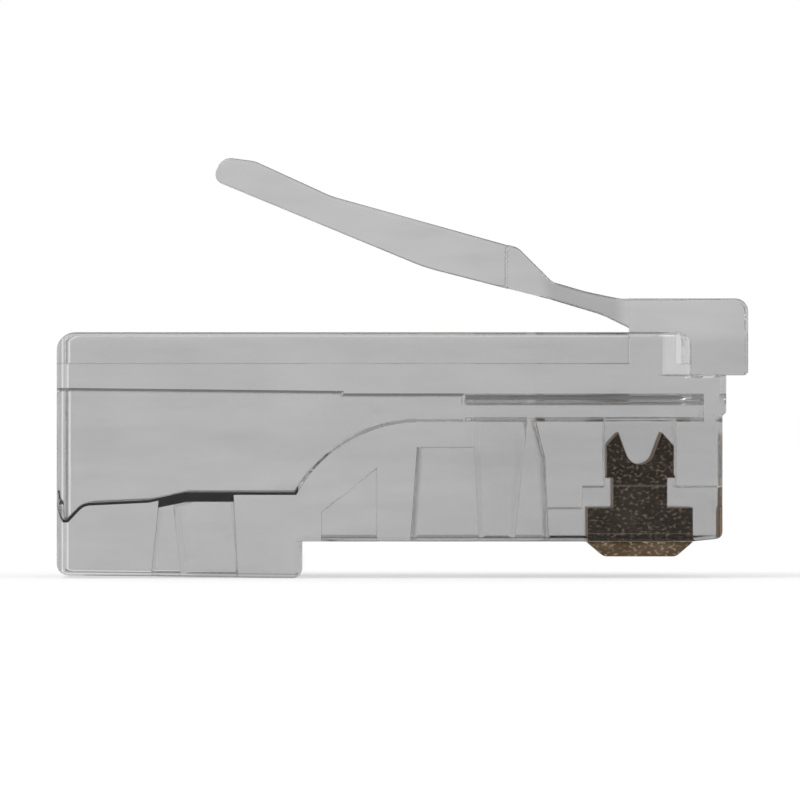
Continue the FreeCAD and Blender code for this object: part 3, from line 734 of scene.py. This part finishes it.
def edge_highlight_lines(tree, width):
    """Rises to one within a width of each sharp edge, where a rounded normal leaves the flat one: the
    mask of the painted highlight lines.
    """
    soft = add_node(tree, "ShaderNodeBevel", samples=8)
    put(tree, soft.inputs["Radius"], width)
    agree = add_node(tree, "ShaderNodeVectorMath", operation="DOT_PRODUCT")
    put(tree, agree.inputs[0], soft.outputs["Normal"])
    put(tree, agree.inputs[1], add_node(tree, "ShaderNodeNewGeometry").outputs["True Normal"])
    return ramp(tree, calc(tree, "ABSOLUTE", agree.outputs["Value"]), 0.90, 0.995, 1.0, 0.0)


def level_band(tree, up, level, half):
    """One within half a band's height of a level."""
    return below(tree, calc(tree, "ABSOLUTE", calc(tree, "SUBTRACT", up, level)), half)


def make_plating(settings):
    """Stamped copper alloy: dark faces with pale specks, partly painted glints, painted highlight lines
    along the sharp edges and across the base, and a plated edge all round.
    """
    material, tree, shader, place = start_material("plated_contact")
    _, _, up = split_place(tree, place)
    speckle = noise(tree, place, 8000.0, 6.0, stretch=(0.9, 0.9, 1.4))
    stain = noise(tree, place, 1400.0, 2.0)
    face, pale = opaque(settings.face_colour), opaque(settings.speck_colour)
    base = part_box("housing")[0].z
    bare = ramp(tree, up, base + BARE_FOOT[0], base + BARE_FOOT[1], 0.16, 0.0)
    colour = blend_colours(tree, ramp(tree, speckle, 0.50, 0.72), face, pale)
    colour = blend_colours(tree, ramp(tree, stain, 0.40, 0.70, 0.0, 0.12), colour, pale)
    colour = blend_colours(tree, bare, colour, pale)
    rim = below(tree, facet_facing(tree)[1], 0.5)
    colour = blend_colours(tree, rim, colour, opaque(settings.edge_colour))
    # Painted highlights: pale lines along the sharp edges, and at the ledge's and the base's levels.
    edge_shine = both(tree, edge_highlight_lines(tree, settings.edge_highlight_width), 0.9)
    # Painted highlight lines at the ledge's and the base's levels.
    ledge = level_band(tree, up, settings.ledge_highlight, LEDGE_HIGHLIGHT_HALF)
    seat = level_band(tree, up, settings.seat_highlight, SEAT_HIGHLIGHT_HALF)
    marks = both(tree, calc(tree, "MAXIMUM", ledge, seat), 0.22)
    bright = calc(tree, "MAXIMUM", edge_shine, marks)
    colour = blend_colours(tree, bright, colour, opaque(settings.edge_highlight_colour))
    put(tree, shader.inputs["Base Color"], colour)
    put(tree, shader.inputs["Metallic"], 1.0)
    put(tree, shader.inputs["Roughness"], ramp(tree, speckle, 0.3, 0.7, 0.34, 0.50))
    bump = add_node(tree, "ShaderNodeBump")
    put(tree, bump.inputs["Height"], speckle)
    put(tree, bump.inputs["Strength"], 0.3)
    put(tree, bump.inputs["Distance"], 0.004 * MM)
    put(tree, shader.inputs["Normal"], bump.outputs["Normal"])
    return material


# ---- the latch ----


def rounded_line(corners, pieces=10):
    """Points of a line whose inner corners are arcs.

    Each corner is (reach, rise, radius). The arc of that radius touches both runs, so it starts
    radius * tan(turn / 2) before the corner and ends as far after it.
    """
    corners = np.array(corners, float)
    points, radii = corners[:, :2], corners[:, 2]
    before, at, after = points[:-2], points[1:-1], points[2:]
    into = (at - before) / np.linalg.norm(at - before, axis=1)[:, None]
    out = (after - at) / np.linalg.norm(after - at, axis=1)[:, None]
    cross = into[:, 0] * out[:, 1] - into[:, 1] * out[:, 0]
    turn = np.arctan2(cross, (into * out).sum(1))
    radius = radii[1:-1]
    first = at - into * (radius * np.tan(np.abs(turn) / 2))[:, None]
    side = np.stack([-into[:, 1], into[:, 0]], 1) * np.sign(turn)[:, None]
    centre = first + side * radius[:, None]
    angle = turn[:, None] * np.linspace(0.0, 1.0, pieces)[None, :]
    arm = first - centre
    x = centre[:, :1] + arm[:, :1] * np.cos(angle) - arm[:, 1:] * np.sin(angle)
    z = centre[:, 1:] + arm[:, :1] * np.sin(angle) + arm[:, 1:] * np.cos(angle)
    arcs = np.stack([x, z], 2).reshape(-1, 2)
    return np.vstack([points[:1], arcs, points[-1:]])


def latch_outline():
    """The latch's upper and lower line from the nose to the tip.

    Each is a row of (reach back, rise over the nose), in millimetres, with the corner's radius.
    """
    upper = [
        (-0.15, -0.005, 0.0),
        (0.30, -0.005, 1.5),
        (1.40, 0.225, 3.0),
        (2.45, 0.53, 0.50),
        (3.56, 1.63, 0.45),
        (9.54, 3.295, 2.5),
        (12.00, 4.42, 0.9),
        (13.05, 4.56, 0.45),
        (13.38, 3.825, 0.32),
        (12.00, 3.255, 0.0),
    ]
    lower = [
        (-0.15, -1.03, 0.0),
        (0.90, -0.52, 3.0),
        (2.54, -0.03, 6.0),
        (6.54, 1.0, 6.0),
        (13.38, 3.825, 0.32),
        (13.05, 4.56, 0.45),
        (12.00, 4.42, 0.0),
    ]
    return rounded_line(upper) * MM, rounded_line(lower) * MM


def level_along(line, reach):
    """Height of a line at each reach, taken up to the line's furthest point."""
    end = int(np.argmax(line[:, 0])) + 1
    return np.interp(reach, line[:end, 0], line[:end, 1])


def latch_plan(settings, half_root, tip):
    """Half the latch's width along it, as (reach, half width): shoulders, fillet, lever, round tip."""
    half_lever = settings.lever_width / 2
    shoulder, fillet, corner = SHOULDER, settings.shoulder_fillet, settings.shoulder_round
    quarter = np.linspace(0.0, math.pi / 2, ARC_POINTS)
    sin, cos = np.sin(quarter), np.cos(quarter)
    stub = [(-STUB, half_root - STUB_STEP), (-0.01 * MM, half_root - STUB_STEP)]
    straight = [(0.0, half_root), (shoulder - 2 * corner, half_root)]
    outer = np.stack([shoulder - corner + corner * sin, half_root - corner + corner * cos], 1)
    inner = np.stack([shoulder + fillet - fillet * cos, half_lever + fillet - fillet * sin], 1)
    cap = np.stack([tip - CAP_END + CAP_END * sin, half_lever - CAP_END + CAP_END * cos], 1)
    return np.vstack([stub, straight, outer, inner, cap])


def latch_stations(settings, plan, tip):
    """Stations along the latch: the plan's own points, with even ones between and more at the tip."""
    even = np.linspace(plan[0, 0], tip, settings.stations)
    near_tip = tip - TIP_CROWD * (1 - np.cos(np.linspace(0.0, math.pi / 2, 40))) ** 1.5
    length = np.concatenate([[0.0], np.cumsum(np.linalg.norm(np.diff(plan, axis=0), axis=1))])
    between = np.interp(np.concatenate([even, near_tip]), plan[:, 0], length)
    order = np.unique(np.round(np.concatenate([length, between]), 9))
    reach = np.interp(order, length, plan[:, 0])
    half = np.interp(order, length, plan[:, 1])
    return reach, half


def latch_section():
    """Points round the latch's section, starting at its first side and going up.

    Each is (side, level, cosine, sine, inward, down): the corner that it belongs to, its place on
    that corner's quarter circle, and for a flat's extra point the way it lies from the corner.
    """
    angles = np.linspace(0.0, math.pi / 2, ARC_POINTS)
    section = []
    for start, side, level in ((0.0, 1, 1), (90.0, -1, 1), (180.0, -1, -1), (270.0, 1, -1)):
        turned = angles + math.radians(start)
        arc = [(side, level, math.cos(a), math.sin(a), 0.0, 0.0) for a in turned]
        ends = [(*arc[0][:4], 0.0, -level), (*arc[-1][:4], -side, 0.0)]
        if side != level:
            ends = [(*arc[0][:4], -side, 0.0), (*arc[-1][:4], 0.0, -level)]
        section += [ends[0], *arc, ends[1]]
    return np.array(section).T


def latch_points(settings):
    """The latch's points, ring by ring.

    At each station the section runs between the lower and the upper line and between plus and
    minus the plan's half width; its four corners are quarter circles of the edge rounding, or of
    0.45 of the section's height where that is less. A point on each flat, just beside each corner,
    keeps the flats flat to the light.
    """
    upper, lower = latch_outline()
    web_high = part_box("latch_web")[1]
    tip = min(upper[:, 0].max(), lower[:, 0].max()) - 1e-7
    plan = latch_plan(settings, web_high.y, tip)
    reach, half = latch_stations(settings, plan, tip)
    high, low = level_along(upper, reach), level_along(lower, reach)
    radius = np.minimum(settings.edge_round, 0.45 * (high - low))
    sides, levels, cos, sin, inward, down = latch_section()
    middle, tall = (high + low) / 2, (high - low) / 2
    margin = np.minimum(FLAT_MARGIN, 0.3 * (tall - radius))[:, None]
    y = sides * (half - radius)[:, None] + radius[:, None] * cos + inward * margin
    z = middle[:, None] + levels * (tall - radius)[:, None] + radius[:, None] * sin + down * margin
    x = np.repeat(reach[:, None], len(sides), axis=1)
    return np.stack([web_high.x - x, y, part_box("housing")[1].z + z], 2)


def ring_faces(rings, around):
    """Quads between one ring of points and the next, with a face over each end."""
    ring = np.arange(rings - 1)[:, None] * around
    step = np.arange(around)[None, :]
    following = (step + 1) % around
    further = ring + around
    quads = np.stack([ring + step, ring + following, further + following, further + step], 2)
    faces = quads.reshape(-1, 4)[:, ::-1].tolist()
    faces.append(list(range(around)))
    faces.append(list(range(rings * around - around, rings * around))[::-1])
    return faces


def build_latch(settings):
    """The latch as one bar: a rounded rectangle carried from the nose to the tip."""
    points = latch_points(settings)
    faces = ring_faces(*points.shape[:2])
    mesh = bpy.data.meshes.new("spring_latch")
    mesh.from_pydata(points.reshape(-1, 3).tolist(), [], faces)
    mesh.validate()
    mesh.update()
    mesh.shade_smooth()
    mesh.set_sharp_from_angle(angle=math.radians(SHARP_TURN))
    latch = bpy.data.objects.new("spring_latch", mesh)
    bpy.context.scene.collection.objects.link(latch)
    flats = latch.modifiers.new("flat_faces", "WEIGHTED_NORMAL")
    flats.keep_sharp = True
    flats.weight = 100
    return latch


# ---- operators ----


class PLUG_OT_dress_moulding(bpy.types.Operator):
    """Give the housing and its two clamps their clear plastic"""

    bl_idname = "modular_plug.dress_moulding"
    bl_label = "Moulding"

    def execute(self, context):
        skin = make_clear_plastic(context.scene.plug_plastic, "clear_plastic", skin_only=True)
        for name in CLEAR_NODES:
            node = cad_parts[name]
            node.data.materials.clear()
            node.data.materials.append(skin)
        return {"FINISHED"}


class PLUG_OT_build_latch(bpy.types.Operator):
    """Build the spring latch as one bar that bends at the nose"""

    bl_idname = "modular_plug.build_latch"
    bl_label = "Spring latch"

    def execute(self, context):
        latch = build_latch(context.scene.plug_latch)
        whole = make_clear_plastic(context.scene.plug_plastic, "clear_plastic_latch", skin_only=False)
        latch.data.materials.append(whole)
        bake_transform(latch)
        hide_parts("latch", "latch_web")
        return {"FINISHED"}


class PLUG_OT_dress_contacts(bpy.types.Operator):
    """Give the eight contact blades their plating"""

    bl_idname = "modular_plug.dress_contacts"
    bl_label = "Contacts"

    def execute(self, context):
        plating = make_plating(context.scene.plug_contacts)
        for name in CONTACTS:
            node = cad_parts[name]
            node.data.materials.clear()
            node.data.materials.append(plating)
        return {"FINISHED"}


def seen_by_eye(tree):
    """One for camera, glossy and transmission rays, which is where the white background shows."""
    path = add_node(tree, "ShaderNodeLightPath")
    total = calc(tree, "MAXIMUM", path.outputs["Is Camera Ray"], path.outputs["Is Glossy Ray"])
    return calc(tree, "MAXIMUM", total, path.outputs["Is Transmission Ray"])


def blend_numbers(tree, factor, first, second):
    """A number Mix node from first to second."""
    made = add_node(tree, "ShaderNodeMix", data_type="FLOAT")
    put(tree, made.inputs["Factor"], factor)
    put(tree, made.inputs["A"], first)
    put(tree, made.inputs["B"], second)
    return made.outputs["Result"]


def make_world():
    """A pale studio: white round the horizon, darker overhead."""
    world = bpy.data.worlds.new("studio")
    world.use_nodes = True
    tree = world.node_tree
    tree.nodes.clear()
    direction = add_node(tree, "ShaderNodeTexCoord").outputs["Generated"]
    split = add_node(tree, "ShaderNodeSeparateXYZ")
    put(tree, split.inputs[0], direction)
    height = split.outputs["Z"]
    overhead = ramp(tree, height, *OVERHEAD, 1.0, 0.35)
    front = ramp(tree, split.outputs["Y"], *BEHIND, 0.6, 1.0)
    seen = calc(tree, "MULTIPLY", overhead, front)
    path = add_node(tree, "ShaderNodeLightPath")
    seen = blend_numbers(tree, path.outputs["Is Camera Ray"], seen, 1.0)
    strength = blend_numbers(tree, seen_by_eye(tree), WORLD_LIGHT, seen)
    back = add_node(tree, "ShaderNodeBackground")
    put(tree, back.inputs["Color"], (1.0, 1.0, 1.0, 1.0))
    put(tree, back.inputs["Strength"], strength)
    output = add_node(tree, "ShaderNodeOutputWorld")
    tree.links.new(back.outputs[0], output.inputs["Surface"])
    bpy.context.scene.world = world


def make_floor():
    """A pale floor at the plug's base that keeps its shadow, and that is clear from below."""
    mesh = bpy.data.meshes.new("floor")
    corners = np.array([(-1, -1, 0), (1, -1, 0), (1, 1, 0), (-1, 1, 0)]) * FLOOR_HALF
    mesh.from_pydata(corners.tolist(), [], [(0, 1, 2, 3)])
    floor = bpy.data.objects.new("floor", mesh)
    bpy.context.scene.collection.objects.link(floor)
    material, tree, shader, place = start_material("pale_floor")
    put(tree, shader.inputs["Base Color"], (FLOOR_GREY, FLOOR_GREY, FLOOR_GREY, 1.0))
    put(tree, shader.inputs["Roughness"], 0.9)
    put(tree, shader.inputs["Emission Color"], (1.0, 1.0, 1.0, 1.0))
    split = add_node(tree, "ShaderNodeSeparateXYZ")
    put(tree, split.inputs[0], place)
    glow = ramp(tree, split.outputs["Y"], *FLOOR_RUN, *FLOOR_GLOW)
    put(tree, shader.inputs["Emission Strength"], calc(tree, "MULTIPLY", seen_by_eye(tree), glow))
    underneath = add_node(tree, "ShaderNodeNewGeometry").outputs["Backfacing"]
    show_surface(tree, let_through(tree, shader.outputs["BSDF"], underneath))
    mesh.materials.append(material)


def add_softbox(name, place, target, size, power):
    """A square area light at a place, aimed at a target."""
    light = bpy.data.lights.new(name, "AREA")
    light.size = size
    light.energy = power
    lamp = bpy.data.objects.new(name, light)
    lamp.location = place
    lamp.rotation_euler = (Vector(target) - Vector(place)).to_track_quat("-Z", "Y").to_euler()
    bpy.context.scene.collection.objects.link(lamp)


class PLUG_OT_build_stage(bpy.types.Operator):
    """Set the floor, the backdrop, the soft lights and the camera"""

    bl_idname = "modular_plug.build_stage"
    bl_label = "Stage"

    def execute(self, context):
        settings = context.scene.plug_stage
        make_world()
        make_floor()
        add_softbox("key", KEY_PLACE, AIM, SOFTBOX, settings.key_power)
        add_softbox("fill", FILL_PLACE, AIM, SOFTBOX, settings.key_power * FILL_SHARE)
        lens = bpy.data.cameras.new("camera")
        lens.lens = settings.focal_length
        lens.sensor_width = 36.0
        lens.clip_start, lens.clip_end = 0.01, 20.0
        camera = bpy.data.objects.new("camera", lens)
        camera.location = (CAMERA_ALONG, -settings.camera_distance, CAMERA_UP)
        camera.rotation_euler = (math.pi / 2, 0.0, 0.0)
        context.scene.collection.objects.link(camera)
        context.scene.camera = camera
        context.scene.view_settings.view_transform = "Standard"
        context.scene.cycles.max_bounces = 48
        context.scene.cycles.transmission_bounces = 48
        context.scene.cycles.glossy_bounces = 12
        return {"FINISHED"}


class PLUG_PT_sidebar(bpy.types.Panel):
    """Lists the plug's pieces and its stage"""

    bl_idname = "PLUG_PT_sidebar"
    bl_label = "Modular Plug"
    bl_space_type = "VIEW_3D"
    bl_region_type = "UI"
    bl_category = "Modular Plug"

    def draw(self, context):
        for step in STEPS:
            self.layout.operator(step.bl_idname)
        for group in GROUPS:
            box = self.layout.box()
            for name in GROUPS[group].__annotations__:
                box.prop(getattr(context.scene, group), name)


GROUPS = {
    "plug_plastic": PlugPlasticSettings,
    "plug_latch": PlugLatchSettings,
    "plug_contacts": PlugContactSettings,
    "plug_stage": PlugStageSettings,
}
STEPS = (PLUG_OT_dress_moulding, PLUG_OT_build_latch, PLUG_OT_dress_contacts, PLUG_OT_build_stage)


def register():
    """Register the settings, the operators and the panel."""
    for name, group in GROUPS.items():
        bpy.utils.register_class(group)
        setattr(bpy.types.Scene, name, PointerProperty(type=group))
    for step in STEPS:
        bpy.utils.register_class(step)
    bpy.utils.register_class(PLUG_PT_sidebar)


def unregister():
    """Take the panel, the operators and the settings away again."""
    bpy.utils.unregister_class(PLUG_PT_sidebar)
    for step in reversed(STEPS):
        bpy.utils.unregister_class(step)
    for name, group in reversed(GROUPS.items()):
        delattr(bpy.types.Scene, name)
        bpy.utils.unregister_class(group)


def main():
    """Register the classes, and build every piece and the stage."""
    register()
    for step in STEPS:
        category, name = step.bl_idname.split(".")
        getattr(getattr(bpy.ops, category), name)()


if __name__ == "__main__":
    main()
